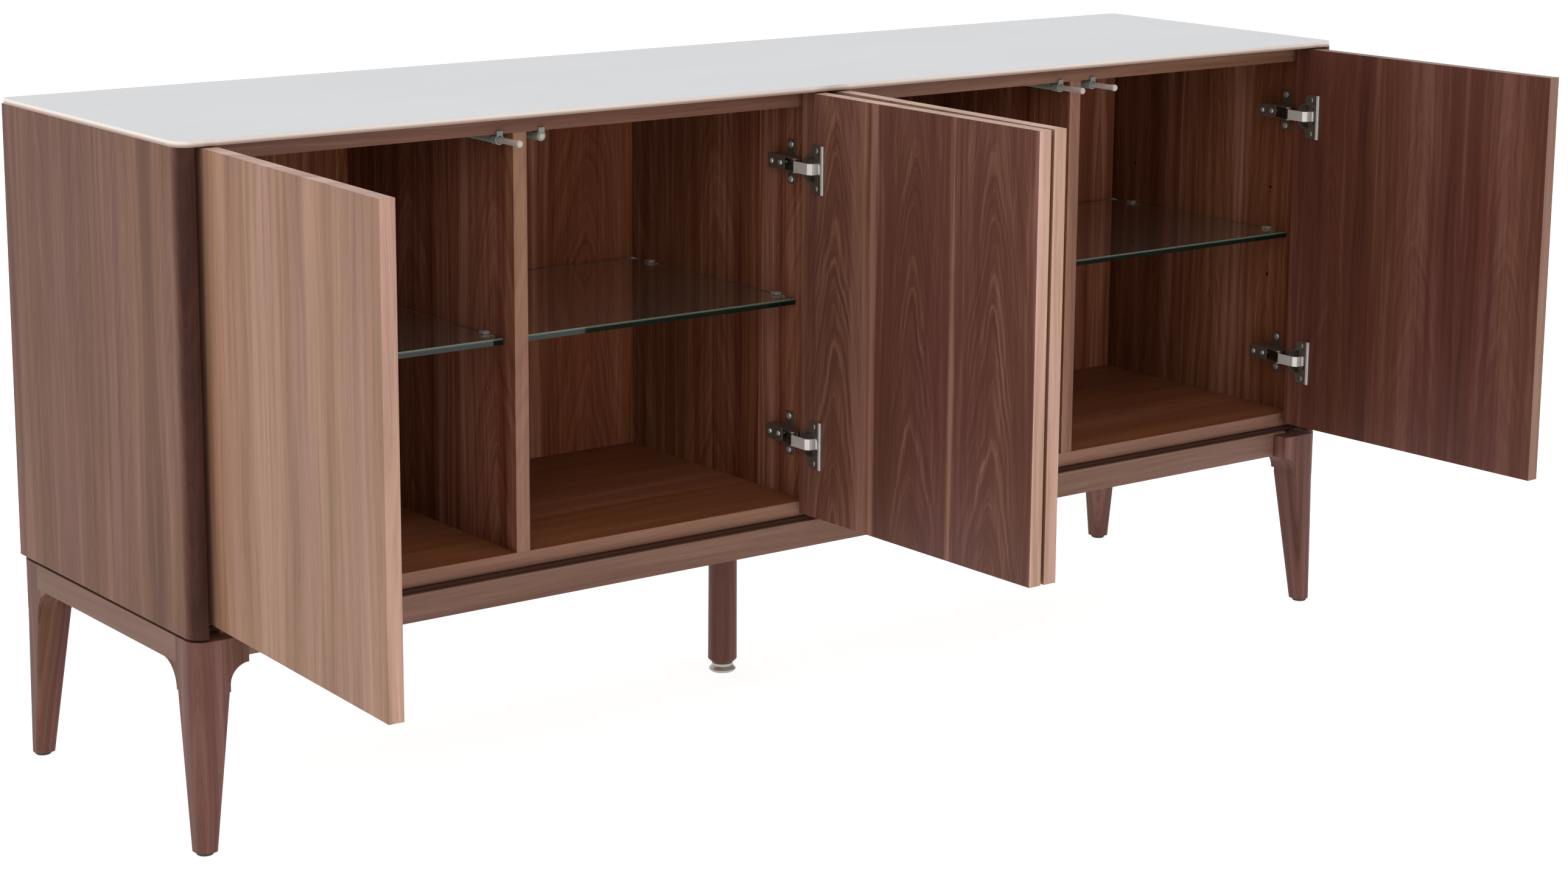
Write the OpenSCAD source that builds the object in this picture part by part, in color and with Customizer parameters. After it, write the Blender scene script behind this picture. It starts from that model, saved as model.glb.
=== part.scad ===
// Four-door sideboard with a thin slab top on a separate leg frame, drawn with its doors open.
// Millimetres. Origin: centre of the footprint on the floor. +X right, +Y back, +Z up.

/* [Overall] */
// Width over the side panels
body_w = 1800; // [1700:10:1900]
// Depth over the side panels
body_d = 460; // [440:5:500]
// Height of the slab's top face above the floor
body_h = 820; // [800:5:840]

/* [Carcass] */
// Thickness of the slab top
slab_t = 7; // [6:1:10]
// Thickness of the side panels
side_t = 20; // [20:1:22]
// Radius of the rounded front corners
corner_r = 19.5; // [10:0.5:19.5]
// Thickness of the top panel
top_t = 22; // [18:1:25]
// Thickness of the bottom panel
bottom_t = 19; // [18:1:22]
// Thickness of the three upright dividers
divider_t = 19; // [19:1:22]
// Thickness of the back panels
back_t = 8; // [5:1:10]
// How far the carcass edges stand behind the fronts of the side panels
front_recess = 35.5; // [35:0.5:40]
// How far the back panels stand in from the backs of the side panels
back_recess = 23; // [16:1:30]

/* [Leg frame] */
// Height of the leg frame
frame_h = 253; // [230:1:260]
// Width of a leg at its top
leg_top = 45; // [38:1:50]
// Width of a leg at its foot
leg_foot = 26; // [24:1:32]
// Thickness of the rails
rail_t = 26; // [24:1:28]
// Height of the side rails
side_rail_h = 31; // [28:1:36]
// How far the front and back rails stand in from the leg faces
rail_inset = 23; // [16:1:30]
// Radius of the shoulder under a side rail
side_shoulder_r = 32; // [20:1:36]
// Radius of the shoulder under a front or back rail
front_shoulder_r = 24; // [12:1:26]
// Diameter of the round centre leg
centre_leg_d = 39; // [34:1:44]

/* [Doors] */
// Thickness of a door
door_t = 18; // [17:1:19]
// Gap between a door's inner face and the carcass edges
door_standoff = 5; // [4:0.5:6]
// How far the outer doors stand open
outer_open = 92.5; // [90:0.5:95]
// How far the inner doors stand open
inner_open = 91; // [90:0.1:91.2]
// Height of the hinges above a door's foot and below its head
hinge_inset = 95; // [80:5:120]

/* [Shelves] */
// Thickness of the glass shelves
shelf_t = 8; // [6:1:8]
// How far a shelf's front edge stands behind the carcass edges
shelf_recess = 24; // [10:1:40]
// Distance between levels of shelf-pin holes
pin_pitch = 64; // [32:32:96]

/* [Hidden] */
$fn = 48;

wood = [0.42, 0.30, 0.24];
wood_inside = [0.24, 0.14, 0.10];
wood_door = [0.52, 0.40, 0.31];
steel = [0.62, 0.61, 0.59];
dark_steel = [0.20, 0.19, 0.18];
plastic = [0.46, 0.49, 0.46];

over = 1;                                  // cutters run this far past a face

// Heights
body_gap = 3;                              // shadow gap between the leg frame and the side panels
bottom_rise = 5;                           // the bottom panel's underside above the side panels' feet
side_z = frame_h + body_gap;
bottom_z = side_z + bottom_rise;
floor_z = bottom_z + bottom_t;
slab_z = body_h - slab_t;
ceiling_z = slab_z - top_t;

// Plan
half_w = body_w / 2;
half_d = body_d / 2;
side_x = half_w - side_t;                  // inner face of a side panel
bay_x = side_x / 2;                        // middle of a bay's divider
front_y = front_recess - half_d;           // front edges of the carcass panels
back_y = half_d - back_recess - back_t;    // front faces of the back panels
panel_back_y = half_d - back_recess / 2;   // back edges of the top and bottom panels
slab_back_r = 8;

// Leg frame
rail_z = frame_h - side_rail_h;            // underside of every rail
front_rail_h = side_z - rail_z;
leg_straight_z = rail_z - side_shoulder_r;  // the taper starts here
leg_lift = 4;                              // wood of a corner leg above the floor
edge_r = 3;                                // eased edges of a leg
leg_relief = 0.2;                          // the tapered part stands this far inside the top block
foot_r = 8;
rail_y = half_d - rail_inset;              // outer faces of the front and back rails
cross_rail_w = 44;
centre_leg_lift = 12;
centre_chamfer = 6;
stud_r = 4;
stud_h = 20;
stud_play = 0.05;
glide_r = 10;

// Doors, counted from the left: [hinge edge when shut, way the door runs, mounting face, opening angle]
meet_gap = 3;
side_gap = 2;
top_gap = 2;
door_rise = 7;                             // a door's foot above the bottom panel's underside
door_y = front_y - door_standoff - door_t; // outer face of a shut door
door_z = bottom_z + door_rise;
door_top = slab_z - top_gap;
inner_face = divider_t / 2;
DOORS = [
    [side_gap - side_x, 1, -side_x, outer_open],
    [-meet_gap / 2, -1, -inner_face, inner_open],
    [meet_gap / 2, 1, inner_face, inner_open],
    [side_x - side_gap, -1, side_x, outer_open]
];
outer_door_w = side_x - side_gap - bay_x - meet_gap / 2;
inner_door_w = bay_x - meet_gap;
swing = [11, 2.5];                         // pivot from a shut door's outer hinge corner

// Concealed hinges, in the frame of a shut door's outer hinge corner
HINGE_Z = [door_z + hinge_inset, door_top - hinge_inset];
cup_x = 22.5;
cup_r = 17.5;
cup_depth = 11.5;
cup_wall = 1;
cup_play = 0.1;
flange_t = 1.6;
flange_h = 62;
flange_w = 25;
flange_x = 20;
flange_corner_r = 7;
flange_screw_x = 30;
flange_screw_z = 24;
pin_r = 1.5;
pin_play = 0.05;
pin_at = [27, 11.5];
pin_h = 24;
link_h = 14;
link_t = 2.5;
link_eye_r = 3;
link_path = [[0, 0], [10.8, 1.5], [14.2, 6], [14.2, 33], [10, 38]];
arm_front = 22.5;
arm_back = 88;
arm_web_y = 54;
arm_nose_x = 7;
arm_tip_x = 31;
arm_x = 24;
arm_pin_at = [16, 32];
arm_screw_y = [62, 80];
arm_screw_r = 2;
arm_screw_head_r = 3.4;
arm_cheek_z = link_h / 2 + 0.6;
arm_t = 1.6;
plate_t = 2.5;
plate_y = [38, 82];
plate_mid_y = 57;
plate_wing_h = 56;
plate_wing_w = 15;
plate_w = 12;
plate_screw_z = 22;

// Push latches under the top panel, one each side of a bay's divider
latch_dx = 29;
latch_drop = 6.5;                          // axis below the top panel
latch_z = ceiling_z - latch_drop;
latch_r = 5;
latch_bore_r = 3.6;
latch_back_y = front_y + 86;
latch_collar_l = 12;
latch_collar_r = 6;
latch_travel = 43;
latch_rod_r = 3.55;
latch_rod_l = 78;
latch_tip_r = 4.2;
latch_tip_l = 6;
latch_tip_y = front_y - door_standoff + 0.5;    // tip when pushed home
LATCHES = [
    [-bay_x - latch_dx, latch_travel],
    [-bay_x + latch_dx, 0],
    [bay_x - latch_dx, latch_travel],
    [bay_x + latch_dx, latch_travel]
];

// Shelves and their clips
shelf_mid_z = (floor_z + ceiling_z) / 2 + 1.5;
shelf_gap = 1.5;
shelf_back_gap = 5;
clip_w = 10;
clip_t = 1.3;
clip_reach = 9;
clip_lip = 3;
hole_r = 2.5;
hole_depth = 8;
clip_pin_r = 2.45;
PIN_Y = [front_y + 61, back_y - 48];
BAY_EDGES = [
    [-side_x, -bay_x - divider_t / 2],
    [-bay_x + divider_t / 2, -inner_face],
    [inner_face, bay_x - divider_t / 2],
    [bay_x + divider_t / 2, side_x]
];

// Base screws
screw_r = 2.45;
screw_l = 34;
screw_hole_r = 2.5;
screw_head_r = 5;
screw_head_h = 3;
screw_y = rail_y - rail_t + 8.5;            // line of the screws, inside the bottom panel's front edge
SCREW_X = [-0.36 * body_w, -0.12 * body_w, 0.12 * body_w, 0.36 * body_w];

// ---- helpers ----

// A block between two corners.
module block(low, high) {
    translate(low)
        cube(high - low);
}

// What a round of radius r takes off a corner at the origin, the plate lying towards +X +Y.
module corner_cut(r) {
    difference() {
        translate([-over, -over])
            square(r + over);
        translate([r, r])
            circle(r);
    }
}

// Puts children at a corner of a plan rectangle, with +X +Y pointing inwards.
module at_corner(sx, sy, x, y) {
    translate([sx * x, sy * y])
        mirror([sx > 0 ? 1 : 0, 0])
            mirror([0, sy > 0 ? 1 : 0])
                children();
}

// The same in 3D.
module at_corner_3d(sx, sy, x, y) {
    translate([sx * x, sy * y, 0])
        mirror([sx > 0 ? 1 : 0, 0, 0])
            mirror([0, sy > 0 ? 1 : 0, 0])
                children();
}

// Bore along X from a face at x, going the way dir.
module bore_x(x, y, z, r, depth, dir) {
    translate([x - dir * over, y, z])
        rotate([0, 90 * dir, 0])
            cylinder(r = r, h = depth + over);
}

// Shelf-pin holes in a wall face at x, going the way dir into the wall.
module pin_holes(x, dir) {
    for (y = PIN_Y, level = [-1, 0, 1])
        bore_x(x, y, shelf_mid_z + level * pin_pitch, hole_r, hole_depth, dir);
}

// Pilot holes of a hinge's mounting plates in the face that carries door i.
module plate_holes(i) {
    dir = -DOORS[i][1];
    for (z = HINGE_Z, s = [-1, 1])
        bore_x(DOORS[i][2], door_y + plate_mid_y, z + s * plate_screw_z, screw_hole_r, hole_depth, dir);
}

// Frame of a shut door's outer hinge corner: +X along the door, +Y into the cabinet.
module hinge_frame(i) {
    translate([DOORS[i][0], door_y, 0])
        mirror([DOORS[i][1] < 0 ? 1 : 0, 0, 0])
            children();
}

// The same frame swung open about the door's pivot.
module open_frame(i) {
    hinge_frame(i)
        translate([swing[0], swing[1], 0])
            rotate([0, 0, -DOORS[i][3]])
                translate([-swing[0], -swing[1], 0])
                    children();
}

// Where a point of the shut door's frame goes when the door stands open.
function swung(p, angle) = let (v = p - swing)
    swing + [v[0] * cos(angle) + v[1] * sin(angle), v[1] * cos(angle) - v[0] * sin(angle)];

// Unit direction from a to b.
function way(a, b) = (b - a) / norm(b - a);

// Mitred side point of a strip of thickness t at point i of a path.
function strip_side(path, i, t) =
    let (
        last = len(path) - 1,
        before = way(path[max(i - 1, 0)], path[max(i, 1)]),
        after = way(path[min(i, last - 1)], path[min(i + 1, last)]),
        sum_way = before + after,
        mid = sum_way / norm(sum_way),
        side = [-mid[1], mid[0]],
        lean = side * [-before[1], before[0]]
    )
    path[i] + side * t / 2 / lean;

// A bent strip of metal on edge, centred on z = 0.
module bent_strip(path, t, h) {
    last = len(path) - 1;
    outline = concat(
        [for (i = [0:last]) strip_side(path, i, t)],
        [for (i = [0:last]) strip_side(path, last - i, -t)]
    );
    linear_extrude(h, center = true)
        polygon(outline);
}

// ---- carcass ----

module top_slab() {
    color([0.85, 0.85, 0.85])
        translate([0, 0, slab_z])
            linear_extrude(slab_t)
                difference() {
                    square([body_w, body_d], center = true);
                    for (sx = [-1, 1]) {
                        at_corner(sx, -1, half_w, half_d)
                            corner_cut(corner_r);
                        at_corner(sx, 1, half_w, half_d)
                            corner_cut(slab_back_r);
                    }
                }
}

module top_panel() {
    color(wood)
        block([-side_x, front_y, ceiling_z], [side_x, panel_back_y, slab_z]);
}

module bottom_panel() {
    color(wood)
        difference() {
            block([-side_x, front_y, bottom_z], [side_x, panel_back_y, floor_z]);
            for (x = SCREW_X, y = [-1, 1])
                translate([x, y * screw_y, bottom_z - over])
                    cylinder(r = screw_hole_r, h = over + 10);
        }
}

// sx is -1 for the left side panel and 1 for the right.
module side_panel(sx, i) {
    color(wood)
        difference() {
            at_corner_3d(sx, -1, half_w, half_d)
                translate([0, 0, side_z])
                    linear_extrude(slab_z - side_z)
                        difference() {
                            square([side_t, body_d]);
                            corner_cut(corner_r);
                        }
            pin_holes(sx * side_x, sx);
            plate_holes(i);
        }
}

module centre_divider() {
    color(wood)
        difference() {
            block([-inner_face, front_y, floor_z], [inner_face, back_y + back_t, ceiling_z]);
            for (s = [-1, 1])
                pin_holes(s * inner_face, -s);
            plate_holes(1);
            plate_holes(2);
        }
}

// A bay's divider, centred on x.
module bay_divider(x) {
    color(wood)
        difference() {
            block([x - inner_face, front_y, floor_z], [x + inner_face, back_y, ceiling_z]);
            for (s = [-1, 1])
                pin_holes(x + s * inner_face, -s);
        }
}

// The back of one half, from the centre divider to a side panel.
module back_panel(sx) {
    low_x = sx < 0 ? -side_x : inner_face;
    high_x = sx < 0 ? -inner_face : side_x;
    color(wood_inside)
        block([low_x, back_y, floor_z], [high_x, back_y + back_t, ceiling_z]);
}

// ---- leg frame ----

// sy is -1 for the front rail and 1 for the back rail.
module long_rail(sy) {
    low_y = sy < 0 ? -rail_y : rail_y - rail_t;
    reach = half_w - leg_top;
    color(wood)
        difference() {
            block([-reach, low_y, rail_z], [reach, low_y + rail_t, side_z]);
            for (x = SCREW_X) {
                translate([x, sy * screw_y, rail_z - over])
                    cylinder(r = screw_hole_r + 0.5, h = front_rail_h + 2 * over);
                translate([x, sy * screw_y, rail_z - over])
                    cylinder(r = screw_head_r + 0.5, h = screw_head_h + over);
            }
        }
}

module side_rail(sx) {
    low_x = sx < 0 ? -half_w : half_w - rail_t;
    reach = half_d - leg_top;
    color(wood)
        block([low_x, -reach, rail_z], [low_x + rail_t, reach, frame_h]);
}

module cross_rail() {
    reach = rail_y - rail_t;
    color(wood)
        difference() {
            block([-cross_rail_w / 2, -reach, rail_z], [cross_rail_w / 2, reach, side_z]);
            translate([0, 0, rail_z - over])
                cylinder(r = centre_leg_d / 2 - 7, h = over + 14);
        }
}

// Section of a leg's top block with its outer corner at the origin.
module leg_block_section() {
    difference() {
        square(leg_top);
        corner_cut(corner_r);
        translate([leg_top, leg_top])
            rotate(180)
                corner_cut(edge_r);
    }
}

// Section of the tapered part: the outer corner has radius outer, the others radius inner.
module leg_section(w, outer, inner) {
    hull() {
        translate([leg_relief + outer, leg_relief + outer])
            circle(outer, $fn = 32);
        for (p = [[w - inner, leg_relief + inner], [leg_relief + inner, w - inner], [w - inner, w - inner]])
            translate(p)
                circle(inner, $fn = 32);
    }
}

// Concave shoulder that runs a leg into a rail's underside, drawn in its own plane.
module shoulder(r) {
    root = 5;
    difference() {
        translate([-root, -r])
            square([r + root, r]);
        translate([r, -r])
            circle(r);
    }
}

module leg(sx, sy) {
    color(wood)
        difference() {
            at_corner_3d(sx, sy, half_w, half_d) {
                translate([0, 0, leg_straight_z])
                    linear_extrude(frame_h - leg_straight_z)
                        leg_block_section();
                hull() {
                    translate([0, 0, leg_straight_z])
                        linear_extrude(1)
                            leg_section(leg_top - leg_relief, corner_r, edge_r);
                    translate([0, 0, leg_lift])
                        linear_extrude(1)
                            leg_section(leg_foot, leg_foot / 2, foot_r);
                }
                // under the side rail
                translate([rail_t, leg_top, rail_z])
                    rotate([90, 0, 90])
                        translate([0, 0, -rail_t])
                            linear_extrude(rail_t)
                                shoulder(side_shoulder_r);
                // flared out under the front or back rail, flush with the leg's face
                translate([leg_top, rail_inset + rail_t, rail_z])
                    rotate([90, 0, 0])
                        linear_extrude(rail_inset + rail_t)
                            shoulder(front_shoulder_r);
                block([leg_top - over, 0, rail_z - leg_relief], [leg_top + front_shoulder_r, rail_inset, frame_h]);
            }
            at_corner_3d(sx, sy, half_w, half_d)
                translate([leg_foot / 2, leg_foot / 2, leg_lift - over])
                    cylinder(r = stud_r + stud_play, h = stud_h + 2 * over);
        }
}

module centre_leg() {
    r = centre_leg_d / 2;
    tenon_h = 12;
    color(wood)
        difference() {
            rotate_extrude()
                polygon([
                    [0, centre_leg_lift], [r - centre_chamfer, centre_leg_lift],
                    [r, centre_leg_lift + centre_chamfer], [r - 0.5, rail_z],
                    [r - 7.1, rail_z], [r - 7.1, rail_z + tenon_h], [0, rail_z + tenon_h]
                ]);
            translate([0, 0, centre_leg_lift - over])
                cylinder(r = stud_r + stud_play, h = stud_h + 2 * over);
        }
}

module corner_foot(sx, sy) {
    color(plastic)
        at_corner_3d(sx, sy, half_w, half_d)
            translate([leg_foot / 2, leg_foot / 2, 0]) {
                cylinder(r1 = glide_r - 1, r2 = glide_r, h = 1);
                translate([0, 0, 1])
                    cylinder(r = glide_r, h = leg_lift - 1);
                cylinder(r = stud_r, h = leg_lift + stud_h);
            }
}

module centre_foot() {
    color(steel) {
        rotate_extrude()
            polygon([
                [0, 0], [15, 0], [18, 2.5], [18, 4], [14, 8.5], [14, centre_leg_lift], [0, centre_leg_lift]
            ]);
        cylinder(r = stud_r, h = centre_leg_lift + stud_h);
    }
}

// Pads on the side rails and long spacer strips on the front and back rails, which carry the body.
module body_pads() {
    pad = 18;
    side_pad_x = half_w - side_t / 2;
    strip_inset = 5;
    strip_reach = side_x - 2;
    color(dark_steel) {
        for (sx = [-1, 1], y = [-0.36 * body_d, 0, 0.36 * body_d])
            translate([sx * side_pad_x, y, frame_h + body_gap / 2])
                cube([side_t - 10, pad, body_gap], center = true);
        for (sy = [-1, 1])
            mirror([0, sy < 0 ? 1 : 0, 0])
                difference() {
                    block(
                        [-strip_reach, screw_y - strip_inset, side_z],
                        [strip_reach, rail_y - strip_inset, side_z + bottom_rise]
                    );
                    for (x = SCREW_X)
                        translate([x, screw_y, side_z - over])
                            cylinder(r = screw_hole_r + 0.5, h = bottom_rise + 2 * over);
                }
    }
}

module base_screws() {
    color(steel)
        for (x = SCREW_X, sy = [-1, 1])
            translate([x, sy * screw_y, rail_z]) {
                cylinder(r = screw_head_r, h = screw_head_h);
                cylinder(r = screw_r, h = side_z + bottom_rise - rail_z + 8);
            }
}

// ---- shelves ----

module shelf(i) {
    low = BAY_EDGES[i][0] + shelf_gap;
    high = BAY_EDGES[i][1] - shelf_gap;
    color([0.35, 0.45, 0.42, 0.5])
        block(
            [low, front_y + shelf_recess, shelf_mid_z - shelf_t / 2],
            [high, back_y - shelf_back_gap, shelf_mid_z + shelf_t / 2]
        );
}

// A C-shaped clip on a wall face at x, gripping a shelf that lies towards dir.
module shelf_clip(x, y, dir) {
    grip = shelf_t / 2;
    translate([x, y, shelf_mid_z])
        mirror([dir < 0 ? 1 : 0, 0, 0]) {
            block([0, -clip_w / 2, -grip - clip_lip], [clip_t, clip_w / 2, grip + clip_lip]);
            for (s = [-1, 1])
                translate([0, -clip_w / 2, s * (grip + clip_lip / 2) - clip_lip / 2])
                    cube([clip_reach, clip_w, clip_lip]);
            translate([-hole_depth + 1, 0, 0])
                rotate([0, 90, 0])
                    cylinder(r = clip_pin_r, h = hole_depth);
        }
}

module shelf_clips() {
    color([0.6, 0.6, 0.58])
        for (bay = BAY_EDGES, y = PIN_Y) {
            shelf_clip(bay[0], y, 1);
            shelf_clip(bay[1], y, -1);
        }
}

// ---- doors and hinges ----

module door(i) {
    w = DOORS[i][2] == -DOORS[3 - i][2] && abs(DOORS[i][2]) > inner_face ? outer_door_w : inner_door_w;
    color(wood_door)
        open_frame(i)
            difference() {
                block([0, 0, door_z], [w, door_t, door_top]);
                for (z = HINGE_Z) {
                    translate([cup_x, door_t - cup_depth, z])
                        rotate([-90, 0, 0])
                            cylinder(r = cup_r, h = cup_depth + over);
                    for (s = [-1, 1])
                        translate([flange_screw_x, door_t - 10, z + s * flange_screw_z])
                            rotate([-90, 0, 0])
                                cylinder(r = 1.8, h = 10 + over);
                }
            }
}

// Outline of a cup's flange: round corners towards the hinge edge, a straight far side.
module flange_outline() {
    intersection() {
        translate([0, -flange_h / 2])
            square([flange_w, flange_h]);
        hull()
            for (s = [-1, 1])
                translate([flange_corner_r, s * (flange_h / 2 - flange_corner_r)]) {
                    circle(flange_corner_r);
                    translate([0, -flange_corner_r])
                        square([flange_w, 2 * flange_corner_r]);
                }
    }
}

// One pressed cup with its flange, pin bosses and two screws.
module cup() {
    base_y = door_t - cup_depth + cup_play;
    inside_r = cup_r - cup_play - cup_wall;
    difference() {
        union() {
            translate([cup_x, base_y, 0])
                rotate([-90, 0, 0])
                    cylinder(r = cup_r - cup_play, h = door_t - base_y);
            translate([cup_x, door_t, 0])
                rotate([-90, 0, 0])
                    cylinder(r = cup_r + 1.5, h = flange_t);
            translate([flange_x, door_t + flange_t, 0])
                rotate([90, 0, 0])
                    linear_extrude(flange_t)
                        flange_outline();
        }
        difference() {
            translate([cup_x, base_y + cup_wall, 0])
                rotate([-90, 0, 0])
                    cylinder(r = inside_r, h = cup_depth + 2 * flange_t);
            for (s = [-1, 1])
                block(
                    [pin_at[0] - 3.5, base_y, s < 0 ? -cup_r : link_h / 2 + 0.6],
                    [pin_at[0] + 3.5, door_t - 1.5, s < 0 ? -link_h / 2 - 0.6 : cup_r]
                );
        }
        translate([pin_at[0], pin_at[1], -pin_h / 2])
            cylinder(r = pin_r + 0.02, h = pin_h);
        for (s = [-1, 1])
            translate([flange_screw_x, door_t - over, s * flange_screw_z])
                rotate([-90, 0, 0])
                    cylinder(r = 2, h = flange_t + 2 * over);
    }
    for (s = [-1, 1])
        translate([flange_screw_x, door_t - 9, s * flange_screw_z])
            rotate([-90, 0, 0]) {
                cylinder(r = 1.7, h = 9 + flange_t);
                translate([0, 0, 9 + flange_t])
                    cylinder(r1 = 3.6, r2 = 2.8, h = 1.2);
            }
}

module hinge_cups(i) {
    color(dark_steel)
        open_frame(i)
            for (z = HINGE_Z)
                translate([0, 0, z])
                    cup();
}

module hinge_pins(i) {
    color(steel)
        open_frame(i)
            for (z = HINGE_Z)
                translate([pin_at[0], pin_at[1], z - pin_h / 2])
                    cylinder(r = pin_r, h = pin_h);
}

// Goose-neck links, each turning on its cup's pin, their tails running between the arm's cheeks.
module hinge_links(i) {
    pivot = swung(pin_at, DOORS[i][3]);
    color(steel)
        hinge_frame(i)
            for (z = HINGE_Z)
                translate([pivot[0], pivot[1], z])
                    difference() {
                        union() {
                            bent_strip(link_path, link_t, link_h);
                            cylinder(r = link_eye_r, h = link_h, center = true);
                        }
                        cylinder(r = pin_r + pin_play, h = link_h + 2 * over, center = true);
                    }
}

// Face that carries door i's plates, in the door's hinge frame.
function face_x(i) = (DOORS[i][2] - DOORS[i][0]) * DOORS[i][1];

module hinge_plates() {
    color(dark_steel)
        for (i = [0:3], z = HINGE_Z)
            hinge_frame(i)
                translate([face_x(i), 0, z])
                    difference() {
                        union() {
                            block([0, plate_y[0], -plate_w / 2], [plate_t, plate_y[1], plate_w / 2]);
                            block(
                                [0, plate_mid_y - plate_wing_w / 2, -plate_wing_h / 2],
                                [plate_t, plate_mid_y + plate_wing_w / 2, plate_wing_h / 2]
                            );
                        }
                        for (s = [-1, 1])
                            translate([-over, plate_mid_y, s * plate_screw_z])
                                rotate([0, 90, 0])
                                    cylinder(r = screw_hole_r, h = plate_t + 2 * over);
                    }
}

module hinge_arms() {
    color(dark_steel)
        for (i = [0:3], z = HINGE_Z)
            hinge_frame(i)
                translate([0, 0, z]) {
                    base_x = face_x(i) + plate_t;
                    nose_x = max(arm_nose_x, face_x(i) + 0.6);
                    for (s = [-1, 1])
                        translate([0, 0, s * (arm_cheek_z + arm_t / 2)])
                            linear_extrude(arm_t, center = true)
                                polygon([
                                    [base_x, plate_y[0]], [base_x, arm_back], [arm_x, arm_back],
                                    [arm_x, arm_web_y], [arm_tip_x, arm_front + 4], [arm_tip_x - 3, arm_front],
                                    [nose_x + 3, arm_front], [nose_x, arm_front + 8]
                                ]);
                    difference() {
                        block([arm_x - arm_t, arm_web_y, -arm_cheek_z], [arm_x, arm_back, arm_cheek_z]);
                        for (y = arm_screw_y)
                            translate([arm_x - arm_t - over, y, 0])
                                rotate([0, 90, 0])
                                    cylinder(r = arm_screw_r + 0.05, h = arm_t + 2 * over);
                    }
                    translate([arm_pin_at[0], arm_pin_at[1], -arm_cheek_z])
                        cylinder(r = pin_r, h = 2 * arm_cheek_z);
                }
}

// Screws of the mounting plates, and the two adjusting screws in each arm.
module hinge_screws() {
    color(steel)
        for (i = [0:3], z = HINGE_Z)
            hinge_frame(i) {
                for (s = [-1, 1])
                    translate([face_x(i), plate_mid_y, z + s * plate_screw_z])
                        rotate([0, 90, 0]) {
                            translate([0, 0, 1 - hole_depth])
                                cylinder(r = screw_r, h = hole_depth - 1 + plate_t);
                            translate([0, 0, plate_t])
                                cylinder(r1 = 4.5, r2 = 3.5, h = 1.6);
                        }
                for (y = arm_screw_y)
                    translate([arm_x, y, z])
                        rotate([0, 90, 0]) {
                            translate([0, 0, -10])
                                cylinder(r = arm_screw_r, h = 10);
                            cylinder(r1 = arm_screw_head_r, r2 = arm_screw_head_r - 0.8, h = 1.4);
                        }
            }
}

// ---- push latches ----

module latch_housing(x) {
    collar_y = front_y - 2;
    translate([x, 0, latch_z]) {
        difference() {
            union() {
                translate([0, latch_back_y, 0])
                    rotate([90, 0, 0])
                        cylinder(r = latch_r, h = latch_back_y - collar_y);
                translate([0, collar_y + latch_collar_l, 0])
                    rotate([90, 0, 0])
                        cylinder(r = latch_collar_r, h = latch_collar_l);
                block([-5, front_y + 14, 0], [5, latch_back_y - 16, latch_drop]);
                block([-4, collar_y - 1, 0], [4, front_y - 0.2, latch_drop + 4]);
            }
            translate([0, latch_back_y - 2, 0])
                rotate([90, 0, 0])
                    cylinder(r = latch_bore_r, h = latch_back_y - collar_y + over);
            translate([0, collar_y + 9, 0])
                rotate([90, 0, 0])
                    cylinder(r = latch_tip_r + 0.2, h = 9 + 2 * over);
        }
    }
}

module latch_housings() {
    color(plastic)
        for (l = LATCHES)
            latch_housing(l[0]);
}

module latch_plunger(i) {
    tip_y = latch_tip_y - LATCHES[i][1];
    color([0.8, 0.79, 0.77])
        translate([LATCHES[i][0], tip_y, latch_z])
            rotate([-90, 0, 0]) {
                cylinder(r1 = latch_tip_r - 1.2, r2 = latch_tip_r, h = 1.2);
                translate([0, 0, 1.2])
                    cylinder(r = latch_tip_r, h = latch_tip_l - 1.2);
                translate([0, 0, 1])
                    cylinder(r = latch_rod_r, h = latch_rod_l);
            }
}

// ---- nodes ----

top_slab();
top_panel();
bottom_panel();
side_panel(-1, 0);  // side_panel_left
side_panel(1, 3);  // side_panel_right
centre_divider();
bay_divider(-bay_x);  // left_divider
bay_divider(bay_x);  // right_divider
back_panel(-1);  // back_panel_left
back_panel(1);  // back_panel_right
long_rail(-1);  // front_rail
long_rail(1);  // back_rail
side_rail(-1);  // left_rail
side_rail(1);  // right_rail
cross_rail();
leg(-1, -1);  // leg_front_left
leg(1, -1);  // leg_front_right
leg(-1, 1);  // leg_back_left
leg(1, 1);  // leg_back_right
centre_leg();
corner_foot(-1, -1);  // foot_front_left
corner_foot(1, -1);  // foot_front_right
corner_foot(-1, 1);  // foot_back_left
corner_foot(1, 1);  // foot_back_right
centre_foot();
body_pads();
base_screws();
shelf(0);  // shelf_1
shelf(1);  // shelf_2
shelf(2);  // shelf_3
shelf(3);  // shelf_4
shelf_clips();
door(0);  // door_1
door(1);  // door_2
door(2);  // door_3
door(3);  // door_4
hinge_plates();
hinge_arms();
hinge_screws();
hinge_cups(0);  // hinge_cups_1
hinge_cups(1);  // hinge_cups_2
hinge_cups(2);  // hinge_cups_3
hinge_cups(3);  // hinge_cups_4
hinge_pins(0);  // hinge_pins_1
hinge_pins(1);  // hinge_pins_2
hinge_pins(2);  // hinge_pins_3
hinge_pins(3);  // hinge_pins_4
hinge_links(0);  // hinge_links_1
hinge_links(1);  // hinge_links_2
hinge_links(2);  // hinge_links_3
hinge_links(3);  // hinge_links_4
latch_housings();
latch_plunger(0);  // latch_plunger_1
latch_plunger(1);  // latch_plunger_2
latch_plunger(2);  // latch_plunger_3
latch_plunger(3);  // latch_plunger_4
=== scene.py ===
import math

import bpy
import bmesh
from mathutils import Matrix, Vector


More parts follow.
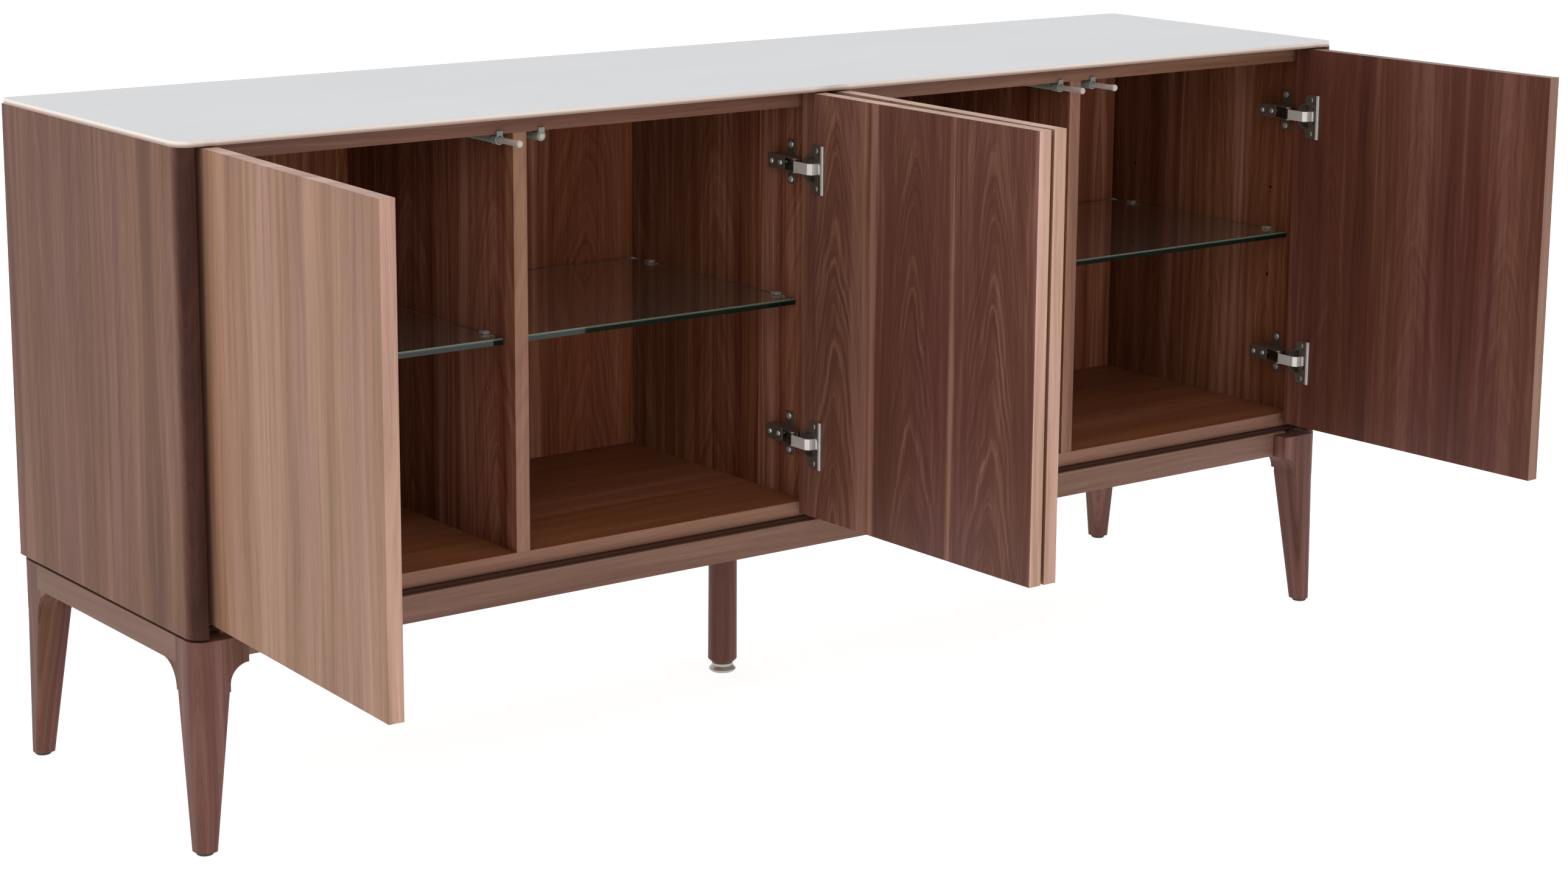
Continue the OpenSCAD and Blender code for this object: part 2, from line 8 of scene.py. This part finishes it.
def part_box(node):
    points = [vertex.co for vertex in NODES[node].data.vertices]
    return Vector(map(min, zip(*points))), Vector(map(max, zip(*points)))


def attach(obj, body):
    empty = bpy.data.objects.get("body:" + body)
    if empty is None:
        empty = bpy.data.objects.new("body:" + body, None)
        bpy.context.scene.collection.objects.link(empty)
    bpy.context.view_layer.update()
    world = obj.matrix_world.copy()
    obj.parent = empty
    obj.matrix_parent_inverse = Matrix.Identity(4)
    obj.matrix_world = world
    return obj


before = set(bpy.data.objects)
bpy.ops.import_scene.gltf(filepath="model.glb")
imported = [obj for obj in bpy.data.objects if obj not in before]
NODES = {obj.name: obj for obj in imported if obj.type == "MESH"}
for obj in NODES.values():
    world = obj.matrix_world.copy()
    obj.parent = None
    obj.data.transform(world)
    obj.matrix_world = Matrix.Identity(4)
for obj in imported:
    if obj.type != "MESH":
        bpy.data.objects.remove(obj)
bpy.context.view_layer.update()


# ---------------------------------------------------------------- node helpers
class Graph:
    """A small wrapper for writing shader trees."""

    def __init__(self, name):
        self.mat = bpy.data.materials.new(name)
        self.mat.use_nodes = True
        self.nt = self.mat.node_tree
        self.nt.nodes.clear()
        self.out = self.nt.nodes.new("ShaderNodeOutputMaterial")
        self.bsdf = self.nt.nodes.new("ShaderNodeBsdfPrincipled")
        self.nt.links.new(self.bsdf.outputs["BSDF"], self.out.inputs["Surface"])
        self.tex = self.new("ShaderNodeTexCoord")

    def new(self, kind, **props):
        n = self.nt.nodes.new(kind)
        for k, v in props.items():
            setattr(n, k, v)
        return n

    def put(self, socket, value):
        """Links a socket or sets a number."""
        if isinstance(value, bpy.types.NodeSocket):
            self.nt.links.new(value, socket)
        elif isinstance(value, (tuple, list, Vector)):
            if len(socket.default_value) == 4 and len(value) == 3:
                value = (*value, 1.0)
            socket.default_value = value
        else:
            socket.default_value = value

    @property
    def coord(self):
        return self.tex.outputs["Object"]

    @property
    def normal(self):
        return self.tex.outputs["Normal"]

    def math(self, op, a, b=0.0):
        n = self.new("ShaderNodeMath", operation=op)
        self.put(n.inputs[0], a)
        self.put(n.inputs[1], b)
        return n.outputs[0]

    def add(self, a, b):
        return self.math("ADD", a, b)

    def sub(self, a, b):
        return self.math("SUBTRACT", a, b)

    def mul(self, a, b):
        return self.math("MULTIPLY", a, b)

    def div(self, a, b):
        return self.math("DIVIDE", a, b)

    def size(self, a):
        return self.math("ABSOLUTE", a)

    def vmath(self, op, a, b=(0, 0, 0)):
        n = self.new("ShaderNodeVectorMath", operation=op)
        self.put(n.inputs[0], a)
        if op == "SCALE":
            self.put(n.inputs["Scale"], b)
            return n.outputs[0]
        self.put(n.inputs[1], b)
        return n.outputs[1] if op in ("DOT_PRODUCT", "LENGTH", "DISTANCE") else n.outputs[0]

    def split(self, v):
        n = self.new("ShaderNodeSeparateXYZ")
        self.put(n.inputs[0], v)
        return n.outputs

    def join(self, x, y, z):
        n = self.new("ShaderNodeCombineXYZ")
        for s, v in zip(n.inputs, (x, y, z)):
            self.put(s, v)
        return n.outputs[0]

    def noise(self, v, scale, detail=4.0, rough=0.5):
        n = self.new("ShaderNodeTexNoise")
        self.put(n.inputs["Vector"], v)
        self.put(n.inputs["Scale"], scale)
        self.put(n.inputs["Detail"], detail)
        self.put(n.inputs["Roughness"], rough)
        return n.outputs["Fac"]

    def ramp(self, fac, stops):
        n = self.new("ShaderNodeValToRGB")
        r = n.color_ramp
        while len(r.elements) < len(stops):
            r.elements.new(0.5)
        for e, (p, c) in zip(r.elements, stops):
            e.position = p
            e.color = (*c, 1.0)
        self.put(n.inputs[0], fac)
        return n.outputs[0]

    def span(self, v, a, b, c=0.0, d=1.0, smooth=False):
        n = self.new("ShaderNodeMapRange")
        if smooth:
            n.interpolation_type = "SMOOTHSTEP"
        self.put(n.inputs["Value"], v)
        for k, x in zip(("From Min", "From Max", "To Min", "To Max"), (a, b, c, d)):
            self.put(n.inputs[k], x)
        return n.outputs[0]

    def mix(self, fac, a, b):
        n = self.new("ShaderNodeMix", data_type="RGBA")
        self.put(n.inputs[0], fac)
        self.put(n.inputs[6], a)
        self.put(n.inputs[7], b)
        return n.outputs[2]

    def bump(self, height, strength, distance, normal):
        n = self.new("ShaderNodeBump")
        self.put(n.inputs["Strength"], strength)
        self.put(n.inputs["Distance"], distance)
        self.put(n.inputs["Height"], height)
        self.put(n.inputs["Normal"], normal)
        return n.outputs[0]

    def edge_mask(self, radius):
        """1 on sharp edges, 0 on flats: the rounded normal leaves the true one."""
        b = self.new("ShaderNodeBevel", samples=6)
        self.put(b.inputs["Radius"], radius)
        g = self.new("ShaderNodeNewGeometry")
        dot = self.vmath("DOT_PRODUCT", b.outputs[0], g.outputs["Normal"])
        return self.span(dot, 0.995, 0.90, 0.0, 1.0), b.outputs[0]

    def set(self, **values):
        for k, v in values.items():
            self.put(self.bsdf.inputs[k.replace("_", " ")], v)
        return self.mat


def srgb(r, g, b):
    def one(c):
        c /= 255
        return c / 12.92 if c <= 0.04045 else ((c + 0.055) / 1.055) ** 2.4

    return (one(r), one(g), one(b))


# ---------------------------------------------------------------- wood
AXES = {"x": 0, "y": 1, "z": 2}


def pick_side(g, axis, sign, low=0.5, high=0.62):
    """1 where the surface faces along an axis; sign 0 takes both ways."""
    n = g.split(g.normal)[AXES[axis]]
    n = g.math("ABSOLUTE", n) if sign == 0 else g.math("MULTIPLY", n, float(sign))
    return g.span(n, low, high)


def tint(g, tone, palette):
    dark, mid, light = palette
    deep = tuple(0.7 * c for c in dark)
    return g.ramp(tone, [(0.16, deep), (0.33, dark), (0.50, mid), (0.70, light)])


# noises of the wood: cycles per metre across and along the grain, seed step, detail, roughness
DRIFT = (5.0, 1.6, 0.0, 3.0, 0.5)
LUMP = (22.0, 5.5, 7.0, 3.0, 0.55)
RING = (36.0, 1.6, 9.0, 4.0, 0.62)
LINE = (52.0, 2.0, 11.0, 2.0, 0.5)
HUE = (17.0, 0.9, 13.0, 2.0, 0.5)
FIBRE = (520.0, 9.0, 0.0, 3.0, 0.7)
PORE = (1400.0, 38.0, 1.0, 2.0, 0.5)
NARROW_RATIO = 4.3          # narrow stripes against broad ones
WANDER = 0.035              # metres that a stripe strays sideways
PAIR_STEP = 0.41            # metres between the strips that two pairs of leaves are cut from
YELLOWER = (1.02, 1.02, 0.90)
PINKER = (1.0, 0.96, 1.06)
WOOD_WEAR_AND_HIGHLIGHT = 0.25


def streaks(g, p, q, seed, kind):
    """Noise stretched along the grain: p runs across it and q along it."""
    across, along, step, detail, rough = kind
    return g.noise(g.join(g.mul(p, across), g.mul(q, along), seed + step), 1.0, detail, rough)


def arches(g, tone, u, centre, a, drift, seed, flame):
    """Blends pointed arches that stand on the grain into the middle of each leaf."""
    lump = g.sub(streaks(g, a, u, seed, LUMP), 0.5)
    arch = g.add(u, g.mul(g.math("POWER", g.size(centre), 1.35), 0.95))
    arch = g.add(arch, g.add(g.mul(drift, 0.36), g.mul(lump, 0.09)))
    ring = streaks(g, arch, centre, seed, RING)
    line = g.size(g.sub(streaks(g, arch, centre, seed, LINE), 0.5))
    line = g.span(line, 0.0, 0.04, 0.06, 0.0)
    ring = g.add(g.add(g.mul(g.sub(ring, 0.5), 0.62), 0.5), line)
    share = g.span(g.size(g.add(centre, g.mul(lump, 0.3))), 0.16, 0.46, flame, 0.0, True)
    return g.add(g.mul(tone, g.sub(1.0, share)), g.mul(ring, share))


def wood(name, palette, grain, across, seed, leaf=0.0, flame=0.0, freq=30.0, skins=(), gloss=0.46,
         spec=0.22, contrast=1.0, jitter=0.08, seam_light=0.0):
    """Oiled walnut: stripes along the grain, arched figure in each leaf, pores, and edges lightened partly as
    wear and partly as painted highlight.
    """
    g = Graph(name)
    xyz = g.split(g.coord)
    u = xyz[AXES[grain]]
    a = g.add(g.add(xyz[AXES[across[0]]], xyz[AXES[across[1]]]), seed + 4.0)
    if leaf:
        turns = g.div(a, leaf)
        cell = g.math("FLOOR", turns)
        frac = g.sub(turns, cell)
        # book-matched: every other leaf is mirrored
        a = g.mul(g.math("PINGPONG", turns, 1.0), leaf)
        a = g.add(a, g.mul(g.math("FLOOR", g.mul(cell, 0.5)), PAIR_STEP))
    drift = g.sub(streaks(g, a, u, seed, DRIFT), 0.5)
    aw = g.add(a, g.mul(drift, WANDER))
    broad = streaks(g, aw, u, seed, (freq, 0.7, 3.0, 3.0, 0.55))
    narrow = streaks(g, aw, u, seed, (freq * NARROW_RATIO, 2.0, 5.0, 4.0, 0.62))
    tone = g.add(g.mul(broad, 0.55), g.mul(narrow, 0.45))
    if leaf and flame:
        tone = arches(g, tone, u, g.sub(frac, 0.5), a, drift, seed, flame)
    fine = streaks(g, aw, u, seed, FIBRE)
    pores = streaks(g, aw, u, seed, PORE)
    tone = g.add(g.mul(g.sub(tone, 0.5), contrast), 0.5)
    tone = g.add(tone, g.mul(g.sub(fine, 0.5), 0.22))
    if leaf:
        white = g.new("ShaderNodeTexWhiteNoise", noise_dimensions="1D")
        g.put(white.inputs["W"], g.add(cell, seed * 7.0))
        tone = g.add(tone, g.mul(g.sub(white.outputs["Value"], 0.5), jitter))
        # pale wavering sapwood line where two leaves meet
        seam = g.math("PINGPONG", g.add(frac, g.mul(drift, 0.12)), 0.5)
        tone = g.add(tone, g.span(seam, 0.0, 0.05, seam_light, 0.0, True))
    col = tint(g, tone, palette)
    for axis, sign, other, *limits in skins:
        col = g.mix(pick_side(g, axis, sign, *limits), col, tint(g, tone, other))
    # slow swing between a yellower and a pinker brown
    hue = g.span(streaks(g, aw, u, seed, HUE), 0.35, 0.65)
    col = g.mix(hue, g.vmath("MULTIPLY", col, YELLOWER), g.vmath("MULTIPLY", col, PINKER))
    pore_mask = g.span(pores, 0.60, 0.72, 0.0, 1.0, True)
    col = g.mix(g.mul(pore_mask, 0.38), col, g.vmath("SCALE", col, 0.55))
    mask, soft = g.edge_mask(0.0010)
    # edges are lightened in patches: partly wear, partly painted highlight
    edge_patch_noise = g.noise(g.coord, 35.0, 3.0, 0.6)
    worn_and_highlit = g.mul(g.mul(mask, g.span(edge_patch_noise, 0.35, 0.65)), WOOD_WEAR_AND_HIGHLIGHT)
    col = g.mix(worn_and_highlit, col, g.vmath("ADD", g.vmath("SCALE", col, 1.4), (0.02, 0.015, 0.012)))
    cloud = g.noise(g.coord, 6.0, 3.0, 0.6)
    rough = g.add(g.mul(fine, 0.14), g.add(g.mul(cloud, 0.10), gloss - 0.12))
    height = g.add(g.mul(fine, 0.5), g.mul(pore_mask, -0.8))
    return g.set(Base_Color=col, Roughness=rough, Normal=g.bump(height, 0.2, 0.0003, soft),
                 Specular_IOR_Level=spec)


def shade(color, scale, lift=0.0):
    return tuple(min(1, c * scale + lift) for c in color)


def plain(name, color, rough, metal, spread, scale, bump, brushed=None, spec=0.5):
    """Metal, plastic or lacquer with mottled roughness, faint bump and a painted highlight on the edges."""
    g = Graph(name)
    v = g.coord
    if brushed:
        v = g.vmath("MULTIPLY", v, brushed)
    n1 = g.noise(v, scale, 4.0, 0.6)
    n2 = g.noise(g.coord, scale * 0.13, 3.0, 0.5)
    mask, soft = g.edge_mask(0.0004)
    col = g.mix(g.span(n1, 0.25, 0.75), shade(color, 0.90), shade(color, 1.08))
    # painted highlight along the edges
    col = g.mix(g.mul(mask, 0.3), col, shade(color, 1.5, 0.05))
    mottle = g.add(g.mul(n1, 0.5), g.mul(n2, 0.5))
    roughness = g.add(rough - spread / 2, g.mul(mottle, spread * 2))
    return g.set(Base_Color=col, Roughness=roughness, Metallic=metal,
                 Normal=g.bump(n1, bump, 0.0002, soft), Specular_IOR_Level=spec)


SHELF_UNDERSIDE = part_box("shelf_1")[0][2]
SHELF_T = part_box("shelf_1")[1][2] - SHELF_UNDERSIDE
SLAB_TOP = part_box("top_slab")[1][2]
SLAB_T = SLAB_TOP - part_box("top_slab")[0][2]


def glass_material():
    """Float glass: clear faces, and dark green edges with a painted highlight along the upper arris."""
    g = Graph("shelf_glass")
    face = pick_side(g, "z", 0)
    height = g.math("FRACT", g.div(g.sub(g.split(g.coord)[2], SHELF_UNDERSIDE), SHELF_T))
    smear = g.noise(g.coord, 14.0, 3.0, 0.6)
    # painted highlight: the edge turns pale towards its upper arris
    green_edge_and_highlight = g.mix(g.span(height, 0.62, 0.9), srgb(14, 28, 20), srgb(112, 128, 114))
    col = g.mix(face, green_edge_and_highlight, srgb(226, 234, 230))
    return g.set(Base_Color=col, Roughness=g.add(0.02, g.mul(smear, 0.03)),
                 Transmission_Weight=g.span(face, 0.0, 1.0, 0.35, 0.98), IOR=1.47)


def slab_material():
    """Honed pale grey slab whose edge is pale above and turns brown below as painted shade, with a painted
    highlight on the arrises.
    """
    g = Graph("slab")
    up = g.split(g.normal)[2]
    cloud = g.noise(g.vmath("MULTIPLY", g.coord, (1.0, 2.2, 1.0)), 3.0, 5.0, 0.55)
    grit = g.noise(g.coord, 420.0, 2.0, 0.5)
    face = g.mix(g.span(cloud, 0.35, 0.65), srgb(197, 198, 201), srgb(204, 205, 207))
    face = g.mix(g.mul(g.span(grit, 0.55, 0.75), 0.25), face, srgb(184, 186, 189))
    # painted shade: the edge darkens to brown towards the underside
    drop = g.div(g.sub(SLAB_TOP, g.split(g.coord)[2]), SLAB_T)
    rim = g.mix(g.span(drop, 0.35, 0.8), srgb(222, 210, 202), srgb(150, 124, 110))
    col = g.mix(g.span(up, 0.5, 0.8), rim, face)
    mask, soft = g.edge_mask(0.0008)
    # painted highlight along the slab's arrises
    col = g.mix(g.mul(mask, 0.2), col, srgb(228, 222, 216))
    return g.set(Base_Color=col, Roughness=g.add(0.30, g.mul(cloud, 0.16)),
                 Normal=g.bump(grit, 0.05, 0.0001, soft))


# palettes: dark, middle and light tone of each kind of surface
OUTSIDE = (srgb(84, 54, 42), srgb(104, 72, 58), srgb(126, 93, 79))
DOOR_FACE = (srgb(110, 78, 58), srgb(138, 103, 81), srgb(160, 126, 105))
INSIDE = (srgb(82, 40, 24), srgb(118, 72, 51), srgb(162, 116, 94))
BACK = (srgb(104, 52, 30), srgb(146, 86, 60), srgb(192, 138, 112))
SHELF_FLOOR = (srgb(108, 62, 38), srgb(132, 79, 51), srgb(158, 106, 77))
DOOR_INSIDE = (srgb(76, 43, 35), srgb(94, 58, 48), srgb(136, 98, 84))
# painted shade: a darker copy of the door inside for the right door
DOOR_INSIDE_RIGHT_SHADED = (srgb(66, 34, 26), srgb(86, 48, 38), srgb(118, 80, 68))
EDGE = (srgb(108, 74, 56), srgb(131, 95, 76), srgb(152, 117, 98))
# painted shade: a darker copy of the door edge for the right door
DOOR_EDGE_SHADED = (srgb(98, 66, 56), srgb(126, 92, 80), srgb(148, 114, 102))
DOOR_EDGE = (srgb(138, 104, 88), srgb(172, 137, 120), srgb(198, 164, 148))
BOARD_EDGE = (srgb(92, 58, 42), srgb(116, 80, 62), srgb(136, 102, 84))
# painted shade: the rounded front edges of the side panels darken as they turn to face forward
SHADED_ROUND_EDGE = (srgb(44, 22, 17), srgb(60, 34, 27), srgb(82, 52, 44))
FRAME_WOOD = (srgb(90, 60, 50), srgb(110, 79, 67), srgb(128, 98, 86))
LEG_WOOD = (srgb(76, 46, 37), srgb(97, 64, 54), srgb(120, 86, 75))


def side_wood(name, outward, seed):
    # faces turning forward on the rounded front edge take the painted shade palette
    return wood(name, INSIDE, "z", "yx", seed, leaf=0.115, flame=0.3, freq=20.0, contrast=1.25, spec=0.10,
                skins=[("x", outward, OUTSIDE), ("y", 1, OUTSIDE), ("y", -1, SHADED_ROUND_EDGE, 0.0, 0.62)])


def door_wood(name, outward, seed, flame, inner, seam_light=0.0, rim=DOOR_EDGE):
    return wood(name, rim, "z", "yx", seed, leaf=0.1457, flame=flame, freq=24.0, contrast=1.1, jitter=0.06,
                seam_light=seam_light, skins=[("x", outward, DOOR_FACE), ("x", -outward, inner)])


def divider_wood(name, seed):
    return wood(name, INSIDE, "z", "yx", seed, leaf=0.2, flame=0.4, freq=44.0, spec=0.15, contrast=1.3,
                skins=[("y", -1, EDGE)])


MATS = {
    "side_left": side_wood("walnut_side_left", -1, 1.3),
    "side_right": side_wood("walnut_side_right", 1, 2.9),
    "door_left": door_wood("walnut_door_left", -1, 4.1, 0.1, DOOR_INSIDE),
    "door_middle": door_wood("walnut_door_middle", 1, 2.2, 0.7, DOOR_INSIDE, 0.16),
    # the right door takes the painted-shade copies of the door inside and edge
    "door_right": door_wood("walnut_door_right", 1, 2.2, 0.25, DOOR_INSIDE_RIGHT_SHADED, 0.05, DOOR_EDGE_SHADED),
    "inside": wood("walnut_inside", BACK, "z", "xy", 6.0, leaf=0.17, flame=0.55, freq=46.0, spec=0.15,
                   seam_light=0.05, skins=[("y", 1, OUTSIDE)]),
    "divider": divider_wood("walnut_divider", 7.7),
    "board": wood("walnut_board", INSIDE, "x", "yz", 3.3, freq=30.0, spec=0.2, skins=[("y", -1, BOARD_EDGE)]),
    "board_low": wood("walnut_board_low", SHELF_FLOOR, "x", "yz", 9.3, freq=18.0, spec=0.2, contrast=0.7,
                      skins=[("y", -1, EDGE)]),
    "rail": wood("walnut_rail", FRAME_WOOD, "x", "zy", 5.5, freq=30.0, contrast=1.1),
    "side_rail": wood("walnut_side_rail", OUTSIDE, "y", "zx", 5.9, freq=24.0, contrast=0.8),
    "leg": wood("walnut_leg", LEG_WOOD, "z", "xy", 8.8, freq=42.0, contrast=1.2, spec=0.15),
    "slab": slab_material(),
    "glass": glass_material(),
    "dark_steel": plain("dark_steel", srgb(134, 125, 114), 0.32, 0.8, 0.10, 120.0, 0.05),
    "bright_steel": plain("bright_steel", srgb(222, 217, 210), 0.46, 0.55, 0.08, 90.0, 0.04, (1, 1, 8)),
    "screw_steel": plain("screw_steel", srgb(206, 201, 196), 0.36, 0.7, 0.08, 200.0, 0.05),
    "base_screw": plain("base_screw", srgb(58, 52, 48), 0.45, 0.8, 0.08, 200.0, 0.05),
    "clip_steel": plain("clip_steel", srgb(190, 184, 176), 0.36, 0.6, 0.08, 200.0, 0.05),
    "foot_metal": plain("foot_metal", srgb(176, 176, 172), 0.40, 0.9, 0.12, 150.0, 0.05, (1, 1, 12)),
    "grey_plastic": plain("grey_plastic", srgb(132, 140, 132), 0.48, 0.0, 0.10, 220.0, 0.08),
    "pale_plastic": plain("pale_plastic", srgb(178, 170, 162), 0.42, 0.0, 0.08, 220.0, 0.06),
    "dark_plastic": plain("dark_plastic", srgb(46, 44, 42), 0.6, 0.0, 0.12, 220.0, 0.10),
    # the pads fill the gap under the carcass; their dark brown also paints the shadow in that gap
    "pad": plain("pad", srgb(62, 38, 30), 0.85, 0.0, 0.10, 400.0, 0.25, spec=0.1),
}

SPOTS = ("front_left", "front_right", "back_left", "back_right")
LOOK = {
    "top_slab": "slab", "top_panel": "board", "bottom_panel": "board_low",
    "side_panel_left": "side_left", "side_panel_right": "side_right",
    "centre_divider": "divider", "left_divider": "divider", "right_divider": "divider",
    "back_panel_left": "inside", "back_panel_right": "inside",
    "front_rail": "rail", "back_rail": "rail", "cross_rail": "side_rail",
    "left_rail": "side_rail", "right_rail": "side_rail",
    "centre_leg": "leg", "centre_foot": "foot_metal",
    "body_pads": "pad", "base_screws": "base_screw", "shelf_clips": "clip_steel",
    "door_1": "door_left", "door_2": "door_middle", "door_3": "door_left", "door_4": "door_right",
    "hinge_plates": "dark_steel", "hinge_arms": "dark_steel", "hinge_screws": "screw_steel",
    "latch_housings": "grey_plastic",
}
for spot in SPOTS:
    LOOK["leg_" + spot] = "leg"
    LOOK["foot_" + spot] = "dark_plastic"
for i in "1234":
    LOOK["shelf_" + i] = "glass"
    LOOK["hinge_cups_" + i] = "dark_steel"
    LOOK["hinge_pins_" + i] = "screw_steel"
    LOOK["hinge_links_" + i] = "bright_steel"
    LOOK["latch_plunger_" + i] = "pale_plastic"

for name, obj in NODES.items():
    obj.data.materials.clear()
    obj.data.materials.append(MATS[LOOK[name]])

# ---------------------------------------------------------------- added detail
scene = bpy.context.scene


def turned_box(name, low, high, matrix, material):
    """A box with softened edges, built in a shut door's own frame and set where the door stands."""
    mesh = bpy.data.meshes.new(name)
    b = bmesh.new()
    bmesh.ops.create_cube(b, size=1.0)
    for v in b.verts:
        v.co = Vector([low[k] + (high[k] - low[k]) * (v.co[k] + 0.5) for k in range(3)])
    bmesh.ops.bevel(b, geom=b.edges[:], offset=SOFT_EDGE, segments=2, affect="EDGES")
    bmesh.ops.transform(b, matrix=matrix, verts=b.verts[:])
    if matrix.determinant() < 0:
        bmesh.ops.reverse_faces(b, faces=b.faces[:])
    b.to_mesh(mesh)
    b.free()
    mesh.materials.append(material)
    o = bpy.data.objects.new(name, mesh)
    scene.collection.objects.link(o)
    return o


SOFT_EDGE = 0.0004
HINGE_Z = (0.363, 0.716)
DOOR_Y = -0.2175            # outer faces of the shut doors
SWING_X, SWING_Y = 0.011, 0.0025    # swing axis, from a shut door's outer hinge corner
# hinge corner of each door, which way it reaches into the carcass, and how far it stands open
DOORS = ((-0.878, 1, 92.5), (-0.0015, -1, 91.0), (0.0015, 1, 91.0), (0.878, -1, 92.5))
# the rim of a hinge cup, just proud of its flange: a real rim, made in bright steel to paint the highlight
# along the cup's edge
RIM_X = (0.0405, 0.0449)
RIM_Y = (0.0196, 0.0213)
RIM_HALF = 0.031

for k, (corner, way, angle) in enumerate(DOORS, 1):
    swing = Matrix.Translation((SWING_X, SWING_Y, 0.0))
    place = (Matrix.Translation((corner, DOOR_Y, 0.0)) @ Matrix.Diagonal((way, 1.0, 1.0, 1.0))
             @ swing @ Matrix.Rotation(math.radians(-angle), 4, "Z") @ swing.inverted())
    for n, z in enumerate(HINGE_Z, 1):
        rim = turned_box("cup_rim_%d_%d" % (k, n), (RIM_X[0], RIM_Y[0], z - RIM_HALF),
                         (RIM_X[1], RIM_Y[1], z + RIM_HALF), place, MATS["bright_steel"])
        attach(rim, "door_%d" % k)

# ---------------------------------------------------------------- stage
WHITE = (1.0, 1.0, 1.0)
FLOOR_HALF = 30.0
FLOOR_GREY = (0.55, 0.55, 0.55)
FLOOR_GLOW = 0.78
KEY_AT = (-3.4, -3.0, 2.6)
KEY_AIM = (0.0, 0.0, 0.5)
KEY_SIZE = (2.5, 2.0)
KEY_POWER = 26
KEY_COLOR = (1.0, 0.98, 0.95)

world = bpy.data.worlds.new("studio")
scene.world = world
world.use_nodes = True
background = world.node_tree.nodes["Background"]
background.inputs["Color"].default_value = (*WHITE, 1.0)
background.inputs["Strength"].default_value = 1.0

floor_mesh = bpy.data.meshes.new("floor")
grid = bmesh.new()
bmesh.ops.create_grid(grid, x_segments=1, y_segments=1, size=FLOOR_HALF)
grid.to_mesh(floor_mesh)
grid.free()
floor = bpy.data.objects.new("floor", floor_mesh)
floor_mesh.materials.append(Graph("floor").set(Base_Color=FLOOR_GREY, Roughness=0.9, Specular_IOR_Level=0.1,
                                               Emission_Color=WHITE, Emission_Strength=FLOOR_GLOW))
scene.collection.objects.link(floor)

light = bpy.data.lights.new("key", "AREA")
light.shape = "RECTANGLE"
light.size, light.size_y = KEY_SIZE
light.energy = KEY_POWER
light.color = KEY_COLOR
key = bpy.data.objects.new("key", light)
key.location = KEY_AT
key.rotation_euler = (Vector(KEY_AIM) - Vector(KEY_AT)).to_track_quat("-Z", "Y").to_euler()
scene.collection.objects.link(key)

# ---------------------------------------------------------------- camera
CAMERA_AT = (-2.47112, -3.38582, 1.31873)
YAW, PITCH, ROLL = -0.64966, -0.20775, 0.00745
LENS_MM = 74.096

cam_data = bpy.data.cameras.new("camera")
cam = bpy.data.objects.new("camera", cam_data)
scene.collection.objects.link(cam)
scene.camera = cam
cam_data.sensor_width = 36.0
cam_data.lens = LENS_MM
cam_data.shift_y = -0.05
cam_data.clip_end = 100.0
cam.matrix_world = (Matrix.Translation(CAMERA_AT) @ Matrix.Rotation(YAW, 4, "Z")
                    @ Matrix.Rotation(math.pi / 2 + PITCH, 4, "X") @ Matrix.Rotation(ROLL, 4, "Z"))

scene.view_settings.view_transform = "Standard"
scene.view_settings.look = "None"
